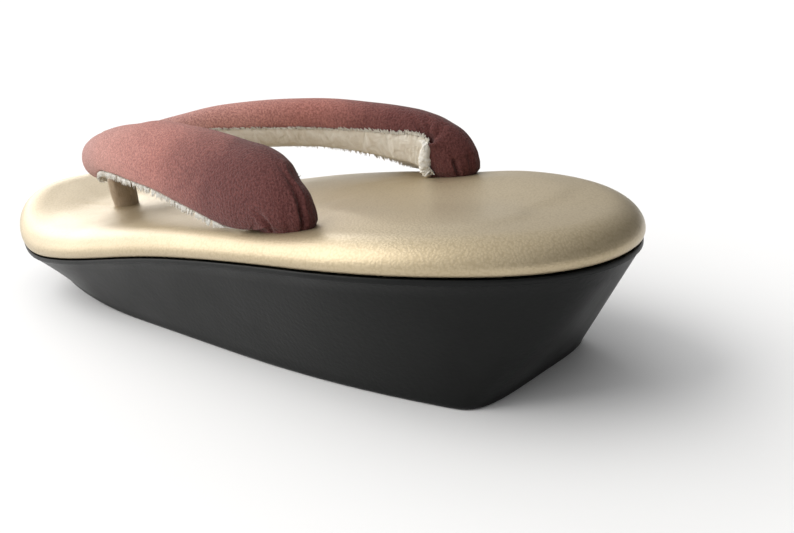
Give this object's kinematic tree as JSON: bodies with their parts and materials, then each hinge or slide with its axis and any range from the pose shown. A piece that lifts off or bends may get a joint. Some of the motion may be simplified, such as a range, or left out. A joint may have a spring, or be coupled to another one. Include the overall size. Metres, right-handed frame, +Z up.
{
  "type": "geta",
  "caption": "Boat-bottomed geta: a black block body under a padded gilt cover, with a thick padded V strap held by a toe thong.",
  "frame": {"origin": "bottom centre of the shoe's box, on the floor", "axes": "+X towards the toe, +Y to the wearer's left, +Z up"},
  "size_m": [0.241, 0.088, 0.0619],
  "materials": {
    "black_satin": "black satin wrap over the block, finely grained",
    "gilt_leather": "champagne gilt leather cloth, finely grained, pearl sheen",
    "mauve_crepe": "crepe, dyed from salmon at the toe to dark mauve at the feet",
    "white_velvet": "short white pile",
    "thong_cloth": "beige cloth, soft"
  },
  "bodies": {
    "root": {"body": "black_satin", "cover": "gilt_leather", "strap": "mauve_crepe", "lining_left": "white_velvet", "lining_right": "white_velvet", "toe_thong": "thong_cloth"}
  },
  "joints": []
}
